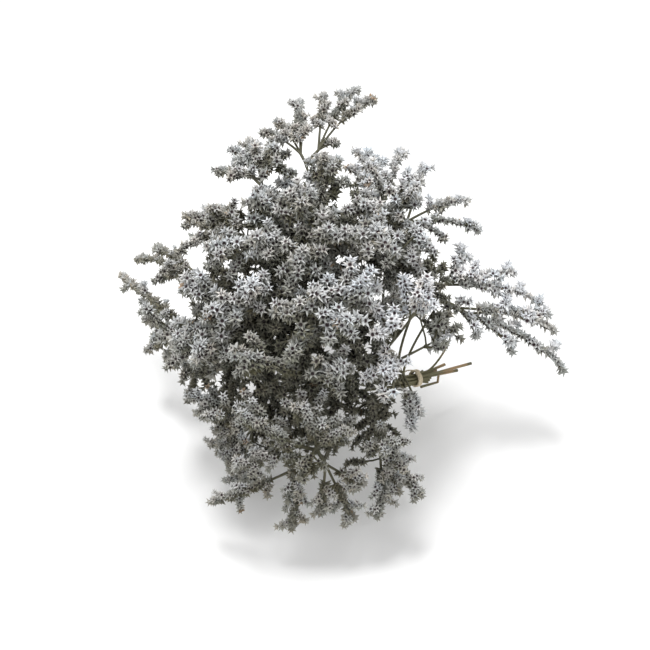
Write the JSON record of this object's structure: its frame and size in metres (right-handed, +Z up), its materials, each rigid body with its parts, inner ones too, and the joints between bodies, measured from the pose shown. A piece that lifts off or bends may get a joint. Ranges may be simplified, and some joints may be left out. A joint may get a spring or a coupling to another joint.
{
  "type": "dried statice bunch",
  "caption": "Short bunch of dried statice lying on its side: branching sprays of papery star florets on thin stems, tied with string above the cut stem ends.",
  "frame": {"origin": "Middle of the bunch's footprint, on the surface that it lies on.", "axes": "X runs across the bunch, its widest way, with the tie and cut stem ends on the +X side; -Y is the side that the head's face looks to; Z is up from the surface."},
  "size_m": [0.3004, 0.243, 0.1968],
  "materials": {
    "papery_star": "matte, dry and papery, pale lilac grey with dark centres on dull olive stems",
    "cream_string": "matte twisted fibre string, cream"
  },
  "bodies": {
    "root": {"spray_top": "papery_star", "spray_top_right": "papery_star", "spray_right_upper": "papery_star", "spray_right": "papery_star", "spray_tie_side": "papery_star", "spray_bottom_right": "papery_star", "spray_bottom": "papery_star", "spray_bottom_left": "papery_star", "spray_left_low": "papery_star", "spray_left": "papery_star", "spray_left_top": "papery_star", "spray_upper_left": "papery_star", "spray_back": "papery_star", "spray_face_upper": "papery_star", "spray_face": "papery_star", "spray_face_left": "papery_star", "spray_face_low": "papery_star", "tie_string": "cream_string"}
  },
  "joints": []
}
